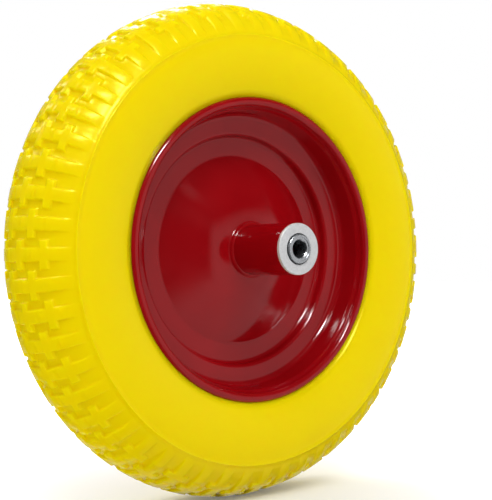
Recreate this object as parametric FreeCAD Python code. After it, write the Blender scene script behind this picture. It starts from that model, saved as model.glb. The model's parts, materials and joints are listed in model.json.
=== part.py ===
import FreeCAD, Part
import math
import os

# Solid polyurethane wheel on a pressed steel rim, with a ball bearing in each hub end.
# Lengths are in mm. The wheel's axis is Y and its middle plane is y = 0.
# Sections are drawn as (radius, y) on the far side, where y is positive, and mirrored to the near side.

# Tyre
TREAD_RADIUS = 187.4
SECTION_RADIUS = 39.2
SHOULDER_RIB_ANGLE = 73.2
SHOULDER_RIB_WIDTH = 1.6
SHOULDER_RIB_HEIGHT = 0.7
LIP_COVER_ANGLE = 32.0

# Tread: bars across the tyre in pairs, each bar with knobs that reach into the grooves beside it.
# Knobs are placed along the round section, from the crown, where the grooves are deepest.
BAR_PAIRS = 28
FIRST_BAR_ANGLE = 174.85
GROOVE_DEPTH = 3.2
GROOVE_TO_RIB = 3.1
GROOVE_SHARE_OF_PITCH = 0.54
KNOB_REACH_SHARE_OF_PITCH = 0.25
KNOB_SPACING = 9.7
KNOB_WIDTH = 6.3
KNOBS_ON_FIRST_BAR = (-2, 0, 2)
KNOBS_ON_SECOND_BAR = (-3, -1, 1, 3)

# Rim halves: sheet steel, pressed to one section and joined back to back at the middle plane
SHEET = 1.5
LIP_RADIUS = 114.0
LIP_CREST = 33.8
LIP_ROLL = 3.5
LIP_FLAT = 0.1
LIP_LEG = 0.4
FLARE_WIDTH = 2.1
FLARE_HEIGHT = 3.4
SEAT_TAPER = 1.4
WELL_DEPTH = 15.9
WELL_WALL = 1.2
WEB_WIDTH = 9.5
DOME_TOP = 20.9
DOME_BULGE = 2.7
LEDGE_BEND = 2.5
WELL_BEND = 3.0
DOME_FOOT_BEND = 8.0
DOME_BEND = 100.0
NECK_BEND = 1.6

# Hub
TUBE_WALL = 2.0
TUBE_HALF_LENGTH = 72.7
TUBE_CHAMFER = 0.3
TUBE_FIT = 0.05
WELD_LEG = 1.3
WELD_BULGE_SHARE = 0.62

# Bearings: radii build up outwards from the bore, and depths inwards from the end of the tube
BORE_RADIUS = 6.35
BORE_CHAMFER = 0.7
INNER_STEP_WIDTH = 2.45
INNER_STEP_DEPTH = 0.5
INNER_RING_WALL = 4.2
INNER_RING_PROUD = 1.5
INNER_LIP_BEND = 0.7
INNER_RING_TAIL = 1.5
BALL_RADIUS = 3.175
BALL_PLAY = 0.05
BALL_GROOVE_DEPTH = 1.5
BALL_DEPTH = 6.0
FIRST_BALL_ANGLE = 4.0
RACE_STEP = 1.5
RACE_WALL = 1.45
RACE_FLANGE_WIDTH = 0.85
RACE_FLANGE = 1.4
COVER_SHEET = 1.0
COVER_SKIRT = 0.75
COVER_SKIRT_GAP = 0.3
COVER_EDGE_BEND = 0.5
INNER_RING_GAP = 0.85
SHIELD_SHEET = 1.0
SHIELD_SETBACK = 6.0
SHIELD_POCKET = 1.5

# Radii that follow from the sizes above
SECTION_CENTRE_RADIUS = TREAD_RADIUS - SECTION_RADIUS
LIP_ROOT_RADIUS = LIP_RADIUS - 2 * LIP_ROLL - LIP_FLAT
FLARE_RADIUS = LIP_ROOT_RADIUS - FLARE_WIDTH
BEAD_SEAT_RADIUS = FLARE_RADIUS - SEAT_TAPER
WELL_RADIUS = BEAD_SEAT_RADIUS - WELL_DEPTH
DOME_FOOT_RADIUS = WELL_RADIUS - WEB_WIDTH
INNER_STEP_RADIUS = BORE_RADIUS + INNER_STEP_WIDTH
INNER_RING_RADIUS = BORE_RADIUS + INNER_RING_WALL
COVER_HOLE_RADIUS = INNER_RING_RADIUS + INNER_RING_GAP
BALL_GROOVE = BALL_RADIUS + BALL_PLAY
BALL_CIRCLE_RADIUS = INNER_RING_RADIUS + BALL_GROOVE - BALL_GROOVE_DEPTH
OUTER_SHOULDER_RADIUS = BALL_CIRCLE_RADIUS + BALL_GROOVE - BALL_GROOVE_DEPTH
SHIELD_SEAT_RADIUS = OUTER_SHOULDER_RADIUS + RACE_STEP
RACE_RADIUS = SHIELD_SEAT_RADIUS + RACE_WALL
RACE_FLANGE_RADIUS = RACE_RADIUS + RACE_FLANGE_WIDTH
COVER_RADIUS = RACE_FLANGE_RADIUS + TUBE_FIT + COVER_SKIRT
TUBE_RADIUS = RACE_RADIUS + TUBE_FIT + TUBE_WALL
NECK_RADIUS = TUBE_RADIUS + TUBE_FIT + SHEET

# Places along the axis that follow from the sizes above
LIP_EDGE = LIP_CREST - LIP_ROLL - LIP_LEG
LEDGE_HEIGHT = SHEET + WELL_BEND + WELL_WALL + LEDGE_BEND
NECK_HEIGHT = DOME_TOP + NECK_BEND
BALL_PLANE = TUBE_HALF_LENGTH - BALL_DEPTH
SHIELD_FRONT = BALL_PLANE - SHIELD_SETBACK
RACE_BACK = SHIELD_FRONT - SHIELD_POCKET
INNER_RING_BACK = RACE_BACK - INNER_RING_TAIL
FLANGE_FRONT = TUBE_HALF_LENGTH + RACE_FLANGE
COVER_FRONT = FLANGE_FRONT + COVER_SHEET
COVER_SKIRT_END = TUBE_HALF_LENGTH + COVER_SKIRT_GAP
INNER_RING_FRONT = COVER_FRONT + INNER_RING_PROUD

# As many balls as the ball circle holds
BALL_COUNT = int(math.pi / math.asin(BALL_GROOVE / BALL_CIRCLE_RADIUS))

AXIS = FreeCAD.Vector(0, 1, 0)
CENTRE = FreeCAD.Vector(0, 0, 0)
FULL_TURN = 360.0
TOLERANCE = 0.001


def at(radius, y):
    return FreeCAD.Vector(radius, y, 0)


def rounded_path(corners):
    """Edges through the corners (radius, y, bend), each inner corner rounded to its bend radius."""
    edges = []
    start = at(*corners[0][:2])
    for before, corner, after in zip(corners, corners[1:], corners[2:]):
        tip = at(*corner[:2])
        back = (at(*before[:2]) - tip).normalize()
        ahead = (at(*after[:2]) - tip).normalize()
        half = back.getAngle(ahead) / 2
        bend = corner[2]
        if bend == 0 or math.pi / 2 - half < TOLERANCE:
            if (tip - start).Length > TOLERANCE:
                edges.append(Part.makeLine(start, tip))
            start = tip
            continue
        reach = bend / math.tan(half)
        first = tip + back * reach
        last = tip + ahead * reach
        to_centre = (back + ahead).normalize()
        middle = tip + to_centre * (bend / math.sin(half) - bend)
        if (first - start).Length > TOLERANCE:
            edges.append(Part.makeLine(start, first))
        edges.append(Part.Arc(first, middle, last).toShape())
        start = last
    end = at(*corners[-1][:2])
    edges.append(Part.makeLine(start, end))
    return edges


def parallel_path(corners, distance):
    """Corners of the path that runs at the given distance to the left of this one."""
    points = [at(*corner[:2]) for corner in corners]
    ways = [(b - a).normalize() for a, b in zip(points, points[1:])]
    lefts = [FreeCAD.Vector(-way.y, way.x, 0) for way in ways]
    moved = [points[0] + lefts[0] * distance]
    bends = [0.0]
    for i in range(1, len(points) - 1):
        mean = lefts[i - 1] + lefts[i]
        moved.append(points[i] + mean * (2 * distance / (mean * mean)))
        turn = ways[i - 1].cross(ways[i]).z
        bend = corners[i][2]
        bends.append(max(bend - math.copysign(distance, turn), 0.0) if bend else 0.0)
    moved.append(points[-1] + lefts[-1] * distance)
    bends.append(0.0)
    return [(p.x, p.y, bend) for p, bend in zip(moved, bends)]


def closed_face(edges):
    return Part.Face(Part.Wire(Part.__sortEdges__(edges)))


def polygon_face(points):
    return Part.Face(Part.makePolygon([at(*p) for p in points] + [at(*points[0])]))


def turned(face, angle=FULL_TURN):
    return face.revolve(CENTRE, AXIS, angle)


def mirrored(shape):
    return shape.mirror(CENTRE, AXIS)


def rim_path():
    """The side of the sheet that is seen, from the lip's free edge in to the hub."""
    dome_foot = at(DOME_FOOT_RADIUS, SHEET)
    neck = at(NECK_RADIUS, DOME_TOP)
    slope = (neck - dome_foot).normalize()
    shoulder = (dome_foot + neck) / 2 + at(slope.y, -slope.x) * DOME_BULGE
    return [
        (LIP_RADIUS, LIP_EDGE, 0),
        (LIP_RADIUS, LIP_CREST, LIP_ROLL),
        (LIP_ROOT_RADIUS, LIP_CREST, LIP_ROLL),
        (LIP_ROOT_RADIUS, LIP_EDGE, 0),
        (FLARE_RADIUS, LIP_EDGE - FLARE_HEIGHT, 0),
        (BEAD_SEAT_RADIUS, LEDGE_HEIGHT, LEDGE_BEND),
        (WELL_RADIUS, LEDGE_HEIGHT, LEDGE_BEND),
        (WELL_RADIUS, SHEET, WELL_BEND),
        (dome_foot.x, dome_foot.y, DOME_FOOT_BEND),
        (shoulder.x, shoulder.y, DOME_BEND),
        (neck.x, neck.y, NECK_BEND),
        (NECK_RADIUS, NECK_HEIGHT, 0),
    ]


def rim_section():
    seen = rim_path()
    hidden = parallel_path(seen, SHEET)
    edges = rounded_path(seen) + rounded_path(hidden)
    edges.append(Part.makeLine(at(*seen[0][:2]), at(*hidden[0][:2])))
    edges.append(Part.makeLine(at(*seen[-1][:2]), at(*hidden[-1][:2])))
    return closed_face(edges)


def section_point(across):
    """Point of the tyre's round section at an angle from the crown."""
    return at(SECTION_CENTRE_RADIUS + SECTION_RADIUS * math.cos(across), SECTION_RADIUS * math.sin(across))


def sidewall_foot():
    """Where the sidewall ends on the rolled lip, in the middle of its sheet."""
    reach = LIP_ROLL - SHEET / 2
    turn = math.radians(LIP_COVER_ANGLE)
    return at(LIP_RADIUS - LIP_ROLL + reach * math.cos(turn), LIP_CREST - LIP_ROLL + reach * math.sin(turn))


def tyre_outside():
    """Edges of the tyre's outside on the far half, from the crown to the rim's lip."""
    rib = math.radians(SHOULDER_RIB_ANGLE)
    rib_end = rib + SHOULDER_RIB_WIDTH / SECTION_RADIUS
    rib_middle = (rib + rib_end) / 2
    rib_top = section_point(rib_middle)
    out = (rib_top - at(SECTION_CENTRE_RADIUS, 0)).normalize()
    foot = sidewall_foot()
    widest = section_point(math.pi / 2)
    drop = widest.x - foot.x
    inset = widest.y - foot.y
    side_radius = (drop ** 2 + inset ** 2) / (2 * inset)
    half_turn = math.atan2(drop, side_radius - inset) / 2
    side_middle = at(widest.x - side_radius * math.sin(half_turn),
                     widest.y - side_radius * (1 - math.cos(half_turn)))
    return [
        Part.Arc(section_point(0), section_point(rib / 2), section_point(rib)).toShape(),
        Part.Arc(section_point(rib), rib_top + out * SHOULDER_RIB_HEIGHT, section_point(rib_end)).toShape(),
        Part.Arc(section_point(rib_end), section_point((rib_end + math.pi / 2) / 2), widest).toShape(),
        Part.Arc(widest, side_middle, foot).toShape(),
    ]


def tyre_section():
    """The tyre fills the rim's outside, so its section is cut by the sections of both rim halves."""
    inside = parallel_path(rim_path(), SHEET / 2)
    last = [i for i, corner in enumerate(inside) if corner[1] > SHEET][-1]
    well = [corner for corner in inside[1:last + 1] if corner[0] > WELL_RADIUS]
    foot = sidewall_foot()
    route = [(foot.x, foot.y, 0)] + well[1:] + [(well[-1][0], 0, 0)]
    far = tyre_outside() + rounded_path(route)
    near = [mirrored(edge) for edge in far]
    blank = closed_face(far + near)
    rim = rim_section()
    cut = blank.cut([rim, mirrored(rim)])
    return max(cut.Faces, key=lambda face: face.Area)


def knob_outline(knobs, edge_angle, reach_angle, half_width):
    """Corners (y, angle) along one edge of a groove, stepped in where the bar beside it has a knob."""
    corners = [(-half_width, edge_angle)]
    for knob in knobs:
        left, right = [section_point((knob * KNOB_SPACING + half) / SECTION_RADIUS).y
                       for half in (-KNOB_WIDTH / 2, KNOB_WIDTH / 2)]
        corners += [(left, edge_angle), (left, reach_angle), (right, reach_angle), (right, edge_angle)]
    corners.append((half_width, edge_angle))
    return corners


def groove_tool(lower_knobs, upper_knobs, centre_angle):
    """Solid that cuts one groove, with flat walls that all lead to the wheel's axis."""
    pitch = FULL_TURN / BAR_PAIRS / 2
    half_groove = pitch * GROOVE_SHARE_OF_PITCH / 2
    reach = pitch * KNOB_REACH_SHARE_OF_PITCH
    lower = centre_angle - half_groove
    upper = centre_angle + half_groove
    outer_radius = TREAD_RADIUS + GROOVE_DEPTH
    inner_radius = SECTION_CENTRE_RADIUS
    half_width = SECTION_RADIUS + GROOVE_DEPTH
    outline = knob_outline(lower_knobs, lower, lower + reach, half_width)
    outline += reversed(knob_outline(upper_knobs, upper, upper - reach, half_width))

    def flat_ring(radius):
        """The outline on a flat plane at this distance from the axis, square to the groove's middle."""
        ring = []
        for y, angle in outline:
            reached = radius / math.cos(math.radians(angle - centre_angle))
            turn = math.radians(angle)
            ring.append(FreeCAD.Vector(reached * math.cos(turn), y, -reached * math.sin(turn)))
        return ring

    outside, inside = flat_ring(outer_radius), flat_ring(inner_radius)
    faces = [Part.Face(Part.makePolygon(ring + ring[:1])) for ring in (outside, inside)]
    for i in range(len(outline)):
        j = (i + 1) % len(outline)
        faces.append(Part.Face(Part.makePolygon([outside[i], outside[j], inside[j], inside[i], outside[i]])))
    return Part.makeSolid(Part.makeShell(faces))


def groove_floor():
    """Ring that the grooves stop at: full depth at the crown, running out to nothing near each rib."""
    end = section_point(math.radians(SHOULDER_RIB_ANGLE) - GROOVE_TO_RIB / SECTION_RADIUS)
    crown = TREAD_RADIUS - GROOVE_DEPTH
    drop = crown - end.x
    floor_radius = (drop ** 2 + end.y ** 2) / (2 * drop)
    return Part.makeTorus(crown - floor_radius, floor_radius, CENTRE, AXIS)


def tyre():
    """One pair of bars is cut, and its outside is repeated round the wheel and closed to one solid."""
    pair = FULL_TURN / BAR_PAIRS
    sector = turned(tyre_section(), pair)
    floor = groove_floor()
    tools = [groove_tool(KNOBS_ON_FIRST_BAR, KNOBS_ON_SECOND_BAR, pair / 4).cut(floor),
             groove_tool(KNOBS_ON_SECOND_BAR, KNOBS_ON_FIRST_BAR, pair * 3 / 4).cut(floor)]
    sector = sector.cut(tools)
    skin = [face for face in sector.Faces if not on_sector_end(face, (0.0, pair))]
    faces = []
    for i in range(BAR_PAIRS):
        for face in skin:
            copy = face.copy()
            copy.rotate(CENTRE, AXIS, i * pair - FIRST_BAR_ANGLE)
            faces.append(copy)
    shell = Part.makeShell(faces)
    shell.sewShape()
    return Part.makeSolid(shell)


def on_sector_end(face, ends):
    """True for the flat faces that a sector's two cut planes leave."""
    points = [vertex.Point for vertex in face.Vertexes]
    for end in ends:
        normal = FreeCAD.Vector(math.sin(math.radians(end)), 0, math.cos(math.radians(end)))
        if all(abs(point * normal) < TOLERANCE for point in points):
            return True
    return False


def hub_tube():
    outer, inner, end, chamfer = TUBE_RADIUS, TUBE_RADIUS - TUBE_WALL, TUBE_HALF_LENGTH, TUBE_CHAMFER
    return turned(polygon_face([
        (inner, -end), (outer - chamfer, -end), (outer, chamfer - end),
        (outer, end - chamfer), (outer - chamfer, end), (inner, end)]))


def hub_weld():
    """Weld bead round the tube, on the end of the rim half's neck."""
    corner = at(TUBE_RADIUS, NECK_HEIGHT)
    out = at(TUBE_RADIUS + WELD_LEG, NECK_HEIGHT)
    up = at(TUBE_RADIUS, NECK_HEIGHT + WELD_LEG)
    bulge = at(TUBE_RADIUS + WELD_LEG * WELD_BULGE_SHARE, NECK_HEIGHT + WELD_LEG * WELD_BULGE_SHARE)
    return turned(closed_face([Part.makeLine(corner, out), Part.Arc(out, bulge, up).toShape(),
                               Part.makeLine(up, corner)]))


def race_groove(shoulder_radius, side):
    """Arc of a ball groove between its two shoulders; side is 1 for the outer race, -1 for the inner."""
    half = math.sqrt(BALL_GROOVE ** 2 - (shoulder_radius - BALL_CIRCLE_RADIUS) ** 2)
    front = at(shoulder_radius, BALL_PLANE + half)
    bottom = at(BALL_CIRCLE_RADIUS + side * BALL_GROOVE, BALL_PLANE)
    back = at(shoulder_radius, BALL_PLANE - half)
    return front, back, Part.Arc(front, bottom, back).toShape()


def outer_race():
    front, back, groove = race_groove(OUTER_SHOULDER_RADIUS, 1)
    route = [back, at(OUTER_SHOULDER_RADIUS, SHIELD_FRONT), at(SHIELD_SEAT_RADIUS, SHIELD_FRONT),
             at(SHIELD_SEAT_RADIUS, RACE_BACK), at(RACE_RADIUS, RACE_BACK),
             at(RACE_RADIUS, TUBE_HALF_LENGTH), at(RACE_FLANGE_RADIUS, TUBE_HALF_LENGTH),
             at(RACE_FLANGE_RADIUS, FLANGE_FRONT), at(OUTER_SHOULDER_RADIUS, FLANGE_FRONT), front]
    edges = [Part.makeLine(a, b) for a, b in zip(route, route[1:])]
    return turned(closed_face(edges + [groove]))


def bearing_cover():
    """Pressed cover: a flat ring with a short skirt over the race's flange."""
    skirt = RACE_FLANGE_RADIUS + TUBE_FIT
    path = [(COVER_HOLE_RADIUS, FLANGE_FRONT, 0), (COVER_HOLE_RADIUS, COVER_FRONT, 0),
            (COVER_RADIUS, COVER_FRONT, COVER_EDGE_BEND), (COVER_RADIUS, COVER_SKIRT_END, 0),
            (skirt, COVER_SKIRT_END, 0), (skirt, FLANGE_FRONT, 0), (COVER_HOLE_RADIUS, FLANGE_FRONT, 0)]
    return turned(closed_face(rounded_path(path)))


def inner_ring():
    front, back, groove = race_groove(INNER_RING_RADIUS, -1)
    step_floor = INNER_RING_FRONT - INNER_STEP_DEPTH
    outer = rounded_path([
        (INNER_RING_RADIUS, front.y, 0), (INNER_RING_RADIUS, INNER_RING_FRONT, INNER_LIP_BEND),
        (INNER_STEP_RADIUS, INNER_RING_FRONT, 0), (INNER_STEP_RADIUS, step_floor, 0),
        (BORE_RADIUS + BORE_CHAMFER, step_floor, 0), (BORE_RADIUS, step_floor - BORE_CHAMFER, 0),
        (BORE_RADIUS, INNER_RING_BACK, 0), (INNER_RING_RADIUS, INNER_RING_BACK, 0),
        (INNER_RING_RADIUS, back.y, 0)])
    return turned(closed_face(outer + [groove]))


def rear_shield():
    outer = SHIELD_SEAT_RADIUS - TUBE_FIT
    back = SHIELD_FRONT - SHIELD_SHEET
    return turned(polygon_face([(COVER_HOLE_RADIUS, back), (outer, back), (outer, SHIELD_FRONT),
                                (COVER_HOLE_RADIUS, SHIELD_FRONT)]))


def balls():
    solids = []
    for i in range(BALL_COUNT):
        ball = Part.makeSphere(BALL_RADIUS, at(BALL_CIRCLE_RADIUS, BALL_PLANE), AXIS)
        ball.rotate(CENTRE, AXIS, FIRST_BALL_ANGLE + FULL_TURN * i / BALL_COUNT)
        solids.append(ball)
    return Part.makeCompound(solids)


def main():
    os.makedirs("parts", exist_ok=True)
    nodes = {"tyre": tyre(), "hub_tube": hub_tube()}
    sided = {
        "rim_half": turned(rim_section()),
        "hub_weld": hub_weld(),
        "bearing_outer_race": outer_race(),
        "bearing_cover": bearing_cover(),
        "bearing_inner_ring": inner_ring(),
        "bearing_rear_shield": rear_shield(),
        "bearing_balls": balls(),
    }
    for name, shape in sided.items():
        nodes[name + "_far"] = shape
        nodes[name + "_near"] = mirrored(shape)
    for name, shape in nodes.items():
        shape.exportStep(os.path.join("parts", name + ".step"))


main()
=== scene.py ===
import bpy
import json
import math
from mathutils import Matrix, Vector


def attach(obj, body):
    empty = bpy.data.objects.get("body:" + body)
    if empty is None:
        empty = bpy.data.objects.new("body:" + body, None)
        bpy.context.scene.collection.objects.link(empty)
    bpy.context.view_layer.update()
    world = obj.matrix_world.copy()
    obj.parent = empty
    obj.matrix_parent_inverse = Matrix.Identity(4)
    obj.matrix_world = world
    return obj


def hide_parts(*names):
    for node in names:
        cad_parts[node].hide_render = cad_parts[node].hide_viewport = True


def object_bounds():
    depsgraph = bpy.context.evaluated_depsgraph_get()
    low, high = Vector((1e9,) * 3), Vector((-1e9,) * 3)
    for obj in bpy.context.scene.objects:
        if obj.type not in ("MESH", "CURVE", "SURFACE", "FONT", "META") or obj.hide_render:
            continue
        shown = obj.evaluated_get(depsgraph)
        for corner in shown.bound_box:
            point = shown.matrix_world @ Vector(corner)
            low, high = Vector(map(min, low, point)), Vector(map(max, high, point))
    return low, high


# Lengths are in metres, in the row's frame: the wheel's axis is Y and Z is up.
# Names that end in _MM are in millimetres, as they are in the part's source.
MM = 0.001

# Camera, fitted to the photograph's 492 by 500 frame
CAMERA_YAW = math.radians(-38.57)
CAMERA_PITCH = math.radians(-0.60)
CAMERA_ROLL = math.radians(-0.13)
CAMERA_DISTANCE = 0.800
CAMERA_SIDESTEP = 0.009
CAMERA_CLIP_START = 0.01
CAMERA_CLIP_END = 100
FOCAL_LENGTH_PX = 1038
IMAGE_HEIGHT_PX = 500
SENSOR_MM = 36

# Tyre section
TREAD_RADIUS_MM = 187.4
SECTION_RADIUS_MM = 39.2
SECTION_CENTRE_MM = TREAD_RADIUS_MM - SECTION_RADIUS_MM
SIDEWALL_FOOT_MM = (113.7, 31.9)
RIB_ANGLE = math.radians(73.2)
RIB_WIDTH_MM = 1.6
RIB_HEIGHT_MM = 0.7

# Tyre's hidden inside, just clear of the rim's sheet: (radius, y) from the lip in to the well
INSIDE_MM = [(114.05, 31.1), (114.05, 29.7), (108.45, 29.7), (106.35, 26.5), (104.95, 6.65), (89.05, 6.65)]

# Rows of the tyre mesh: how many cross the rib and the sidewall, and where they lie from the last knob
# to the groove's end and from the rib to the section's widest point, as shares
RIB_STEPS = 4
SIDEWALL_STEPS = 6
RUNOUT_SHARES = (0.25, 0.5, 0.75, 1.0)
SHOULDER_SHARES = (0.33, 0.67, 1.0)

# Pressed rim half: the sheet's seen side from the lip's free edge in to the hub, as (radius, y, bend)
SHEET_MM = 1.5
RIM_MM = [(114.0, 29.9, 0), (114.0, 33.8, 3.5), (106.9, 33.8, 3.5), (106.9, 29.9, 0), (104.8, 26.5, 6.0),
          (103.2, 10.8, 5.5), (87.6, 9.2, 3.2), (86.9, 1.5, 3.0), (72.0, 1.5, 8.0), (33.0, 19.0, 55.0),
          (20.55, 20.9, 1.6), (20.55, 22.5, 0)]
RIM_COLUMNS = 240
BEND_STEP = math.radians(9)
FEWEST_BEND_STEPS = 3
SHARP_ANGLE = math.radians(50)
SAME_POINT_MM = 0.01

# Tread pattern
BAR_PAIRS = 28
FIRST_BAR_ANGLE = math.radians(174.85)
PAIR_ANGLE = 2 * math.pi / BAR_PAIRS
PITCH_ANGLE = PAIR_ANGLE / 2
FIRST_GROOVE_CENTRE = PITCH_ANGLE / 2
SECOND_GROOVE_CENTRE = FIRST_GROOVE_CENTRE + PITCH_ANGLE
GROOVE_SHARE_OF_PITCH = 0.54
GROOVE_ANGLE = PITCH_ANGLE * GROOVE_SHARE_OF_PITCH
KNOB_REACH_SHARE_OF_PITCH = 0.25
KNOB_REACH_ANGLE = PITCH_ANGLE * KNOB_REACH_SHARE_OF_PITCH
GROOVE_DEPTH_MM = 2.2
GROOVE_RUNOUT_POWER = 4
GROOVE_TO_RIB_MM = 3.1
GROOVE_END_ANGLE = RIB_ANGLE - GROOVE_TO_RIB_MM / SECTION_RADIUS_MM
KNOB_SPACING_MM = 9.7
KNOB_WIDTH_MM = 6.3
FIRST_KNOBS = (-2, 0, 2)
SECOND_KNOBS = (-3, -1, 1, 3)

# A shallow channel crosses each bar midway between its knobs
CHANNEL_DEPTH_MM = 0.6
CHANNEL_HALF_WIDTH_MM = 1.4

# Moulded edges: a wall leans this much each way, and rounds off over this much at its top and foot.
# The steps go down a wall: (distance out from its middle, share of the groove's depth).
WALL_LEAN_MM = 0.45
EDGE_ROUND_MM = 0.85
ROUND_SHARE = 0.10
WALL_STEPS = [(-EDGE_ROUND_MM, 0.0), (-WALL_LEAN_MM, ROUND_SHARE),
              (WALL_LEAN_MM, 1 - ROUND_SHARE), (EDGE_ROUND_MM, 1.0)]

# Colours, linear
WHITE = (1.0, 1.0, 1.0)
FOAM_YELLOW = (0.88, 0.69, 0.0)
PAINT_RED = (0.30, 0.0015, 0.0040)
ZINC_GREY = (0.84, 0.84, 0.85)
CHROME_GREY = (0.72, 0.74, 0.77)
STEEL_GREY = (0.50, 0.51, 0.53)

# Each surface's darkest and lightest tone as a share of its colour, and its roughness where it is so
FOAM_TONES = (0.98, 1.01)
FOAM_ROUGHNESS = (0.20, 0.30)
PAINT_TONES = (0.88, 1.08)
PAINT_ROUGHNESS = (0.07, 0.16)
METAL_TONES = (0.85, 1.0)
ZINC_ROUGHNESS = (0.38, 0.55)
CHROME_ROUGHNESS = (0.22, 0.34)
STEEL_ROUGHNESS = (0.15, 0.28)

# Metal and foam as materials
METALLIC = 1.0
ZINC_METALLIC = 0.5
FOAM_GLOSS_TINT = (1.0, 0.92, 0.13)
FOAM_SOAK = 0.9
FOAM_SOAK_COLOUR = (1.0, 0.8, 0.05)
FOAM_SOAK_MM = 9.0

# Noise patterns, as (fineness per metre, detail), and the span of noise that makes them up
FOAM_PATCHES = (14, 3)
FOAM_WAVES = (45, 2)
FOAM_GRAIN = (900, 2)
PAINT_PATCHES = (18, 3)
PAINT_WAVES = (30, 2)
PAINT_PEEL = (160, 2)
ZINC_MARKS = (700, 4)
CHROME_MARKS = (900, 4)
STEEL_MARKS = (800, 4)
NOISE_SPAN = (0.3, 0.7)
WIDE_NOISE_SPAN = (0.1, 0.9)
WHOLE = (0, 1)

# Relief from those patterns, as (height in mm, strength)
FOAM_WAVE_RELIEF = (0.4, 0.35)
FOAM_GRAIN_RELIEF = (0.05, 0.15)
PAINT_WAVE_RELIEF = (0.3, 0.3)
PAINT_PEEL_RELIEF = (0.05, 0.15)
METAL_RELIEF = (0.02, 0.2)

# Studio: brightness of the backdrop as seen, and as it lights the object.
# The floor's own glow, for the camera alone, rises from under the wheel to its full strength at the reach.
# Away from the wheel it makes the floor white. Near the wheel it is weak, so the floor round the wheel's foot
# reads darker: a painted shadow on top of the cast one.
BACKDROP_SEEN = 1.0
BACKDROP_DIFFUSE = 0.64
FLOOR_GREY = 0.80
# Camera glow right under the wheel, kept low so that the floor there is dark: painted shadow
FLOOR_GLOW_IN_PAINTED_SHADOW = 0.12
FLOOR_GLOW_AWAY = 1.0
PAINTED_SHADOW_REACH = 0.45
FLOOR_HALF_WIDTH = 6.0
LAMP_DISTANCE = 2.5

# Backdrop in gloss: dark, with a pale soft-edged wall to the right of the wheel on both of its sides.
# Each edge is (where it is dark, where it is full), in degrees of azimuth from the Y axis or of elevation.
GLOSS_DARK = 0.015
GLOSS_WALL = 0.50
WALL_LEFT_EDGE = (-8, 4)
WALL_RIGHT_EDGE = (80, 66)
WALL_TOP_EDGE = (30, 10)

# Lamps in degrees: azimuth from the -Y side towards +X, elevation, width and height; then brightness
GLOSS_LAMPS = {
    "front_softbox": (-25, 45, 16, 6, 90),
    "left_softbox": (-77, 54, 14, 8, 14),
    "high_spot": (2, 34, 0.8, 0.8, 50),
    "rear_left_softbox": (-150, 38, 16, 10, 4),
    "rear_softbox": (155, 45, 20, 10, 14),
}
DIFFUSE_LAMPS = {
    "key": (-20, 54, 40, 30, 4.1),
    "rear_key": (165, 54, 40, 30, 4.1),
}


# Camera and stage

def camera_axes():
    back = Vector((math.sin(CAMERA_YAW) * math.cos(CAMERA_PITCH),
                   -math.cos(CAMERA_YAW) * math.cos(CAMERA_PITCH),
                   math.sin(CAMERA_PITCH)))
    level = Vector((math.cos(CAMERA_YAW), math.sin(CAMERA_YAW), 0))
    rise = back.cross(level)
    right = level * math.cos(CAMERA_ROLL) + rise * math.sin(CAMERA_ROLL)
    up = rise * math.cos(CAMERA_ROLL) - level * math.sin(CAMERA_ROLL)
    return right, up, back


def make_camera():
    right, up, back = camera_axes()
    data = bpy.data.cameras.new("camera")
    data.sensor_width = SENSOR_MM
    data.lens = FOCAL_LENGTH_PX / IMAGE_HEIGHT_PX * SENSOR_MM
    data.clip_start = CAMERA_CLIP_START
    data.clip_end = CAMERA_CLIP_END
    camera = bpy.data.objects.new("camera", data)
    place = back * CAMERA_DISTANCE + right * CAMERA_SIDESTEP
    camera.matrix_world = Matrix.Translation(place) @ Matrix((right, up, back)).transposed().to_4x4()
    bpy.context.scene.collection.objects.link(camera)
    bpy.context.scene.camera = camera


def aimed_lamp(name, azimuth, elevation, width, height, brightness, in_gloss):
    """Area light that faces the wheel and spans the given angles as seen from it."""
    turn, lift = math.radians(azimuth), math.radians(elevation)
    way = Vector((math.sin(turn) * math.cos(lift), -math.cos(turn) * math.cos(lift), math.sin(lift)))
    data = bpy.data.lights.new(name, "AREA")
    data.shape = "RECTANGLE"
    data.size = 2 * LAMP_DISTANCE * math.tan(math.radians(width) / 2)
    data.size_y = 2 * LAMP_DISTANCE * math.tan(math.radians(height) / 2)
    data.energy = brightness * math.pi * data.size * data.size_y
    lamp = bpy.data.objects.new(name, data)
    lamp.location = way * LAMP_DISTANCE
    lamp.rotation_euler = (-way).to_track_quat("-Z", "Y").to_euler()
    lamp.visible_camera = False
    lamp.visible_diffuse = not in_gloss
    lamp.visible_glossy = in_gloss
    bpy.context.scene.collection.objects.link(lamp)


def edge_mask(nodes, links, value, edge):
    """Soft step in the value, in degrees, from 0 at the edge's first angle to 1 at its second."""
    dark, full = (math.radians(angle) for angle in edge)
    mask = nodes.new("ShaderNodeMapRange")
    mask.interpolation_type = "SMOOTHSTEP"
    mask.inputs["From Min"].default_value = dark
    mask.inputs["From Max"].default_value = full
    links.new(value, mask.inputs["Value"])
    return mask.outputs["Result"]


def maths(nodes, links, operation, *values):
    node = nodes.new("ShaderNodeMath")
    node.operation = operation
    for socket, value in zip(node.inputs, values):
        if isinstance(value, (int, float)):
            socket.default_value = value
        else:
            links.new(value, socket)
    return node.outputs[0]


def chosen(nodes, links, factor, first, second):
    """The first value, or the second where the factor is 1."""
    mix = nodes.new("ShaderNodeMix")
    for name, value in (("A", first), ("B", second)):
        if isinstance(value, float):
            mix.inputs[name].default_value = value
        else:
            links.new(value, mix.inputs[name])
    links.new(factor, mix.inputs["Factor"])
    return mix.outputs["Result"]


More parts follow.
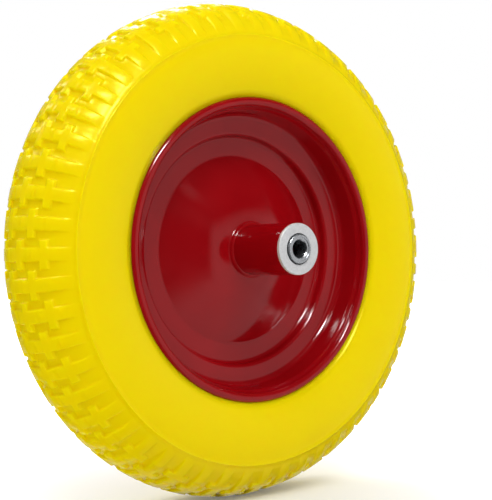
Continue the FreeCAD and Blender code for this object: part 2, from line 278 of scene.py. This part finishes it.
def make_world():
    world = bpy.data.worlds.new("studio")
    bpy.context.scene.world = world
    world.use_nodes = True
    nodes, links = world.node_tree.nodes, world.node_tree.links
    split = nodes.new("ShaderNodeSeparateXYZ")
    links.new(nodes.new("ShaderNodeTexCoord").outputs["Generated"], split.inputs[0])
    depth = maths(nodes, links, "ABSOLUTE", split.outputs["Y"])
    azimuth = maths(nodes, links, "ARCTAN2", split.outputs["X"], depth)
    elevation = maths(nodes, links, "ARCSINE", split.outputs["Z"])
    wall = maths(nodes, links, "MULTIPLY", edge_mask(nodes, links, azimuth, WALL_LEFT_EDGE),
                 edge_mask(nodes, links, azimuth, WALL_RIGHT_EDGE))
    wall = maths(nodes, links, "MULTIPLY", wall, edge_mask(nodes, links, elevation, WALL_TOP_EDGE))
    in_gloss = maths(nodes, links, "MULTIPLY_ADD", wall, GLOSS_WALL - GLOSS_DARK, GLOSS_DARK)
    ray = nodes.new("ShaderNodeLightPath").outputs
    seen = maths(nodes, links, "MAXIMUM", ray["Is Camera Ray"], ray["Is Transmission Ray"])
    unseen = chosen(nodes, links, ray["Is Glossy Ray"], BACKDROP_DIFFUSE, in_gloss)
    background = nodes["Background"]
    background.inputs["Color"].default_value = (*WHITE, 1)
    links.new(chosen(nodes, links, seen, unseen, BACKDROP_SEEN), background.inputs["Strength"])


def make_floor(height):
    half = FLOOR_HALF_WIDTH
    corners = [(-half, -half, height), (half, -half, height), (half, half, height), (-half, half, height)]
    mesh = bpy.data.meshes.new("floor")
    mesh.from_pydata(corners, [], [(0, 1, 2, 3)])
    floor = bpy.data.objects.new("floor", mesh)
    floor.visible_glossy = False
    bpy.context.scene.collection.objects.link(floor)
    material = bpy.data.materials.new("floor_paper")
    material.use_nodes = True
    nodes, links = material.node_tree.nodes, material.node_tree.links
    nodes.clear()
    paper = nodes.new("ShaderNodeBsdfDiffuse")
    paper.inputs["Color"].default_value = (FLOOR_GREY, FLOOR_GREY, FLOOR_GREY, 1)
    distance = nodes.new("ShaderNodeVectorMath")
    distance.operation = "LENGTH"
    links.new(object_point(nodes), distance.inputs[0])
    # The camera glow grows with distance from under the wheel, so the floor is darker near the wheel's foot:
    # a painted shadow added to the real cast shadow
    lift = ranged(nodes, links, distance.outputs["Value"],
                  (FLOOR_GLOW_IN_PAINTED_SHADOW, FLOOR_GLOW_AWAY), (-height, PAINTED_SHADOW_REACH))
    for_camera = nodes.new("ShaderNodeLightPath").outputs["Is Camera Ray"]
    glow = nodes.new("ShaderNodeEmission")
    links.new(maths(nodes, links, "MULTIPLY", for_camera, lift), glow.inputs["Strength"])
    both = nodes.new("ShaderNodeAddShader")
    links.new(paper.outputs[0], both.inputs[0])
    links.new(glow.outputs[0], both.inputs[1])
    links.new(both.outputs[0], nodes.new("ShaderNodeOutputMaterial").inputs["Surface"])
    mesh.materials.append(material)


# Materials

def new_material(name, colour, metallic=0.0):
    material = bpy.data.materials.new(name)
    material.use_nodes = True
    shader = material.node_tree.nodes["Principled BSDF"]
    shader.inputs["Base Color"].default_value = (*colour, 1)
    shader.inputs["Metallic"].default_value = metallic
    return material, material.node_tree.nodes, material.node_tree.links, shader


def object_point(nodes):
    return nodes.new("ShaderNodeTexCoord").outputs["Object"]


def noise_at(nodes, links, point, pattern, name):
    noise = nodes.new("ShaderNodeTexNoise")
    noise.label = name
    noise.inputs["Scale"].default_value, noise.inputs["Detail"].default_value = pattern
    links.new(point, noise.inputs["Vector"])
    return noise.outputs["Fac"]


def ranged(nodes, links, value, to_range, from_range):
    """The value stretched from one (low, high) to another, and held within it."""
    spread = nodes.new("ShaderNodeMapRange")
    spread.inputs["From Min"].default_value, spread.inputs["From Max"].default_value = from_range
    spread.inputs["To Min"].default_value, spread.inputs["To Max"].default_value = to_range
    links.new(value, spread.inputs["Value"])
    return spread.outputs["Result"]


def make_uneven(nodes, links, shader, pattern, span, colour, tones, roughness):
    """Lets the pattern vary the shader's colour between its tones and its roughness between its ends."""
    amount = ranged(nodes, links, pattern, WHOLE, span)
    mix = nodes.new("ShaderNodeMix")
    mix.data_type = "RGBA"
    for name, tone in zip("AB", tones):
        mix.inputs[name].default_value = (*(c * tone for c in colour), 1)
    links.new(amount, mix.inputs["Factor"])
    links.new(mix.outputs["Result"], shader.inputs["Base Color"])
    links.new(ranged(nodes, links, amount, roughness, WHOLE), shader.inputs["Roughness"])


def bump(nodes, links, height, relief, before=None):
    height_mm, strength = relief
    node = nodes.new("ShaderNodeBump")
    node.inputs["Distance"].default_value = height_mm * MM
    node.inputs["Strength"].default_value = strength
    links.new(height, node.inputs["Height"])
    if before is not None:
        links.new(before, node.inputs["Normal"])
    return node.outputs["Normal"]


def foam_material():
    """Moulded polyurethane foam: a smooth, slightly uneven skin that light soaks into."""
    material, nodes, links, shader = new_material("yellow_foam", FOAM_YELLOW)
    shader.inputs["Specular Tint"].default_value = (*FOAM_GLOSS_TINT, 1)
    shader.inputs["Subsurface Weight"].default_value = FOAM_SOAK
    shader.inputs["Subsurface Radius"].default_value = FOAM_SOAK_COLOUR
    shader.inputs["Subsurface Scale"].default_value = FOAM_SOAK_MM * MM
    point = object_point(nodes)
    patches = noise_at(nodes, links, point, FOAM_PATCHES, "uneven skin")
    make_uneven(nodes, links, shader, patches, WIDE_NOISE_SPAN, FOAM_YELLOW, FOAM_TONES, FOAM_ROUGHNESS)
    swell = noise_at(nodes, links, point, FOAM_WAVES, "slight waves")
    grain = noise_at(nodes, links, point, FOAM_GRAIN, "fine grain")
    waves = bump(nodes, links, swell, FOAM_WAVE_RELIEF)
    links.new(bump(nodes, links, grain, FOAM_GRAIN_RELIEF, waves), shader.inputs["Normal"])
    return material


def paint_material():
    """Thick wet red paint on pressed steel, with soft waves."""
    material, nodes, links, shader = new_material("red_paint", PAINT_RED)
    point = object_point(nodes)
    patches = noise_at(nodes, links, point, PAINT_PATCHES, "uneven paint")
    make_uneven(nodes, links, shader, patches, NOISE_SPAN, PAINT_RED, PAINT_TONES, PAINT_ROUGHNESS)
    peel = noise_at(nodes, links, point, PAINT_PEEL, "orange peel")
    swell = noise_at(nodes, links, point, PAINT_WAVES, "sheet waves")
    waves = bump(nodes, links, swell, PAINT_WAVE_RELIEF)
    links.new(bump(nodes, links, peel, PAINT_PEEL_RELIEF, waves), shader.inputs["Normal"])
    return material


def metal_material(name, colour, roughness, pattern, metallic=METALLIC):
    material, nodes, links, shader = new_material(name, colour, metallic)
    marks = noise_at(nodes, links, object_point(nodes), pattern, "fine marks")
    make_uneven(nodes, links, shader, marks, NOISE_SPAN, colour, METAL_TONES, roughness)
    links.new(bump(nodes, links, marks, METAL_RELIEF), shader.inputs["Normal"])
    return material


def dress_cad_nodes(frame):
    """Gives every CAD node the material of its slot, and returns the materials by slot."""
    slots = {
        "red_paint": paint_material(),
        "zinc_plate": metal_material("zinc_plate", ZINC_GREY, ZINC_ROUGHNESS, ZINC_MARKS, ZINC_METALLIC),
        "bright_plate": metal_material("bright_plate", CHROME_GREY, CHROME_ROUGHNESS, CHROME_MARKS),
        "bearing_steel": metal_material("bearing_steel", STEEL_GREY, STEEL_ROUGHNESS, STEEL_MARKS),
    }
    for part in frame["record"]["subparts"]:
        material = slots.get(part["material_slot"])
        if material:
            for slot in frame["nodes"][part["node"]].material_slots:
                slot.material = material
    return slots


# Rings round the wheel's axis

def add_ring(name, sections, turned, material, node):
    """Closed ring that replaces a CAD node.

    The sections are (angle round the axis, points), each point a (radius, y) in mm.
    turned says that the points run the other way round the section.
    """
    vertices = [(r * MM * math.cos(turn), y * MM, r * MM * math.sin(turn))
                for turn, points in sections for r, y in points]
    columns, rows = len(sections), len(sections[0][1])
    faces = []
    for i in range(columns):
        a, b = i * rows, (i + 1) % columns * rows
        for j in range(rows):
            k = (j + 1) % rows
            faces.append((a + j, a + k, b + k, b + j) if turned else (a + j, b + j, b + k, a + k))
    mesh = bpy.data.meshes.new(name)
    mesh.from_pydata(vertices, [], faces)
    mesh.polygons.foreach_set("use_smooth", [True] * len(faces))
    mesh.materials.append(material)
    ring = bpy.data.objects.new(name, mesh)
    bpy.context.scene.collection.objects.link(ring)
    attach(ring, "wheel")
    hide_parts(node)
    return mesh


# Tyre

def outward_distance(angle, across, edge, knobs, side):
    """Distance in mm outside a bar and its knobs; side is 1 where the groove lies at larger angles."""
    past_bar = (angle - edge) * side * TREAD_RADIUS_MM
    past_end = past_bar - KNOB_REACH_ANGLE * TREAD_RADIUS_MM
    past_side = min(abs(across - knob * KNOB_SPACING_MM) for knob in knobs) - KNOB_WIDTH_MM / 2
    return min(past_bar, max(past_end, past_side))


def groove_share(angle, across):
    """How deep a point of one bar pair is sunk, from 0 on a bar's top to 1 on a groove's floor."""
    if angle < PITCH_ANGLE:
        centre, lower, upper = FIRST_GROOVE_CENTRE, FIRST_KNOBS, SECOND_KNOBS
    else:
        centre, lower, upper = SECOND_GROOVE_CENTRE, SECOND_KNOBS, FIRST_KNOBS
    distance = min(outward_distance(angle, across, centre - GROOVE_ANGLE / 2, lower, 1),
                   outward_distance(angle, across, centre + GROOVE_ANGLE / 2, upper, -1))
    if distance <= WALL_STEPS[0][0]:
        return 0.0
    for (start, low), (end, high) in zip(WALL_STEPS, WALL_STEPS[1:]):
        if distance <= end:
            return low + (high - low) * (distance - start) / (end - start)
    return 1.0


def channel_share(angle, across):
    """How deep a point lies in a bar's channel, from 0 on the bar's top to 1 in the middle of the channel."""
    bar = round(angle / PITCH_ANGLE) % 2
    crossings = FIRST_KNOBS if bar else SECOND_KNOBS
    off = min(abs(across - crossing * KNOB_SPACING_MM) for crossing in crossings)
    return max(1 - off / CHANNEL_HALF_WIDTH_MM, 0.0)


def groove_angles():
    """Angles of the tyre mesh's columns within one bar pair."""
    distances = [distance for distance, share in WALL_STEPS]
    angles = []
    for centre in (FIRST_GROOVE_CENTRE, SECOND_GROOVE_CENTRE):
        for side in (-1, 1):
            edge = centre + side * GROOVE_ANGLE / 2
            knob_end = edge - side * KNOB_REACH_ANGLE
            angles += [edge - side * distance / TREAD_RADIUS_MM for distance in distances]
            angles += [knob_end - side * distance / TREAD_RADIUS_MM for distance in distances[:-1]]
    return sorted(angles)


def section_rows():
    """Rows of the tyre mesh on the far half: (angle from the crown, rib height) along the round section."""
    edges = [KNOB_WIDTH_MM / 2]
    across = [0.0, CHANNEL_HALF_WIDTH_MM]
    for knob in range(1, max(SECOND_KNOBS) + 1):
        middle = knob * KNOB_SPACING_MM
        edges += [middle - KNOB_WIDTH_MM / 2, middle + KNOB_WIDTH_MM / 2]
        across += [middle - CHANNEL_HALF_WIDTH_MM, middle, middle + CHANNEL_HALF_WIDTH_MM]
    for edge in edges:
        across += [edge + distance for distance, share in WALL_STEPS]
    rows = [(a / SECTION_RADIUS_MM, 0.0) for a in sorted(across)]
    last = rows[-1][0]
    rows += [(last + (GROOVE_END_ANGLE - last) * share, 0.0) for share in RUNOUT_SHARES]
    for i in range(RIB_STEPS + 1):
        share = i / RIB_STEPS
        rise = RIB_HEIGHT_MM * math.sin(math.pi * share)
        rows.append((RIB_ANGLE + share * RIB_WIDTH_MM / SECTION_RADIUS_MM, rise))
    last = rows[-1][0]
    rows += [(last + (math.pi / 2 - last) * share, 0.0) for share in SHOULDER_SHARES]
    return rows


def sidewall_points():
    """(radius, y) in mm from just below the widest point of the section to the lip."""
    foot_radius, foot_y = SIDEWALL_FOOT_MM
    drop = SECTION_CENTRE_MM - foot_radius
    inset = SECTION_RADIUS_MM - foot_y
    side_radius = (drop ** 2 + inset ** 2) / (2 * inset)
    turn = math.asin(drop / side_radius)
    points = []
    for i in range(1, SIDEWALL_STEPS + 1):
        angle = turn * i / SIDEWALL_STEPS
        points.append((SECTION_CENTRE_MM - side_radius * math.sin(angle),
                       SECTION_RADIUS_MM - side_radius * (1 - math.cos(angle))))
    return points


def groove_limit(across_angle):
    """Greatest depth in mm at an angle from the crown: even over the tread, then less to the groove's end."""
    share = min(across_angle / GROOVE_END_ANGLE, 1.0)
    return GROOVE_DEPTH_MM * (1 - share ** GROOVE_RUNOUT_POWER)


def tyre_ring(turn):
    """Section points (radius, y) in mm, all the way round the section, at an angle within one bar pair."""
    half = []
    for angle, rise in section_rows():
        across = angle * SECTION_RADIUS_MM
        groove = groove_limit(angle) * groove_share(turn, across)
        channel = min(CHANNEL_DEPTH_MM, groove_limit(angle)) * channel_share(turn, across)
        reach = SECTION_RADIUS_MM - max(groove, channel) + rise
        half.append((SECTION_CENTRE_MM + reach * math.cos(angle), reach * math.sin(angle)))
    half += sidewall_points() + INSIDE_MM
    return [(r, -y) for r, y in reversed(half[1:])] + half


def make_tyre():
    one_pair = [(angle, tyre_ring(angle)) for angle in groove_angles()]
    sections = [(FIRST_BAR_ANGLE + pair * PAIR_ANGLE + angle, ring)
                for pair in range(BAR_PAIRS) for angle, ring in one_pair]
    add_ring("foam_tyre", sections, True, foam_material(), "tyre")


# Rim halves

def rounded(corners):
    """Points along a path of corners (radius, y, bend), each corner rounded to its bend radius."""
    points = [Vector(corners[0][:2])]
    for before, corner, after in zip(corners, corners[1:], corners[2:]):
        tip = Vector(corner[:2])
        back = (Vector(before[:2]) - tip).normalized()
        ahead = (Vector(after[:2]) - tip).normalized()
        half = back.angle(ahead) / 2
        bend = corner[2]
        if bend == 0:
            points.append(tip)
            continue
        centre = tip + (back + ahead).normalized() * (bend / math.sin(half))
        first = tip + back * (bend / math.tan(half)) - centre
        turn = first.angle_signed(tip + ahead * (bend / math.tan(half)) - centre)
        steps = max(math.ceil(abs(turn) / BEND_STEP), FEWEST_BEND_STEPS)
        for i in range(steps + 1):
            angle = -turn * i / steps
            points.append(centre + Vector((first.x * math.cos(angle) - first.y * math.sin(angle),
                                           first.x * math.sin(angle) + first.y * math.cos(angle))))
    points.append(Vector(corners[-1][:2]))
    return points


def hidden_side(points, distance):
    """The sheet's other side, at the given distance to the left of the path."""
    moved = []
    for i, point in enumerate(points):
        way = (points[min(i + 1, len(points) - 1)] - points[max(i - 1, 0)]).normalized()
        moved.append(point + Vector((-way.y, way.x)) * distance)
    return moved


def make_rim_halves(paint):
    path = rounded(RIM_MM)
    seen = path[:1] + [p for before, p in zip(path, path[1:]) if (p - before).length > SAME_POINT_MM]
    outline = seen + hidden_side(seen, SHEET_MM)[::-1]
    for side, sign in (("near", -1), ("far", 1)):
        points = [(p.x, sign * p.y) for p in outline]
        sections = [(2 * math.pi * i / RIM_COLUMNS, points) for i in range(RIM_COLUMNS)]
        rim = add_ring("pressed_rim_" + side, sections, side == "far", paint, "rim_half_" + side)
        rim.set_sharp_from_angle(angle=SHARP_ANGLE)


def as_lists(bounds):
    return [list(corner) for corner in bounds]


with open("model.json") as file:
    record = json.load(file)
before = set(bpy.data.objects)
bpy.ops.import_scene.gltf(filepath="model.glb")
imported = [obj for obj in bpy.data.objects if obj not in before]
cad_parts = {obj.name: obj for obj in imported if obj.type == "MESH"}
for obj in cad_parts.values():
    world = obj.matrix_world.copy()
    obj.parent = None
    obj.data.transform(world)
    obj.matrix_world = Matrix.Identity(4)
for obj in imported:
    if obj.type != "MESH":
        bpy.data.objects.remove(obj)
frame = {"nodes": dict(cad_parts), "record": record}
cad_bounds = as_lists(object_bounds())
bpy.context.scene.view_settings.view_transform = "Standard"
make_camera()
make_world()
for lamps, in_gloss in ((GLOSS_LAMPS, True), (DIFFUSE_LAMPS, False)):
    for lamp_name, lamp in lamps.items():
        aimed_lamp(lamp_name, *lamp, in_gloss)
make_floor(cad_bounds[0][2])
finishes = dress_cad_nodes(frame)
make_tyre()
make_rim_halves(finishes["red_paint"])
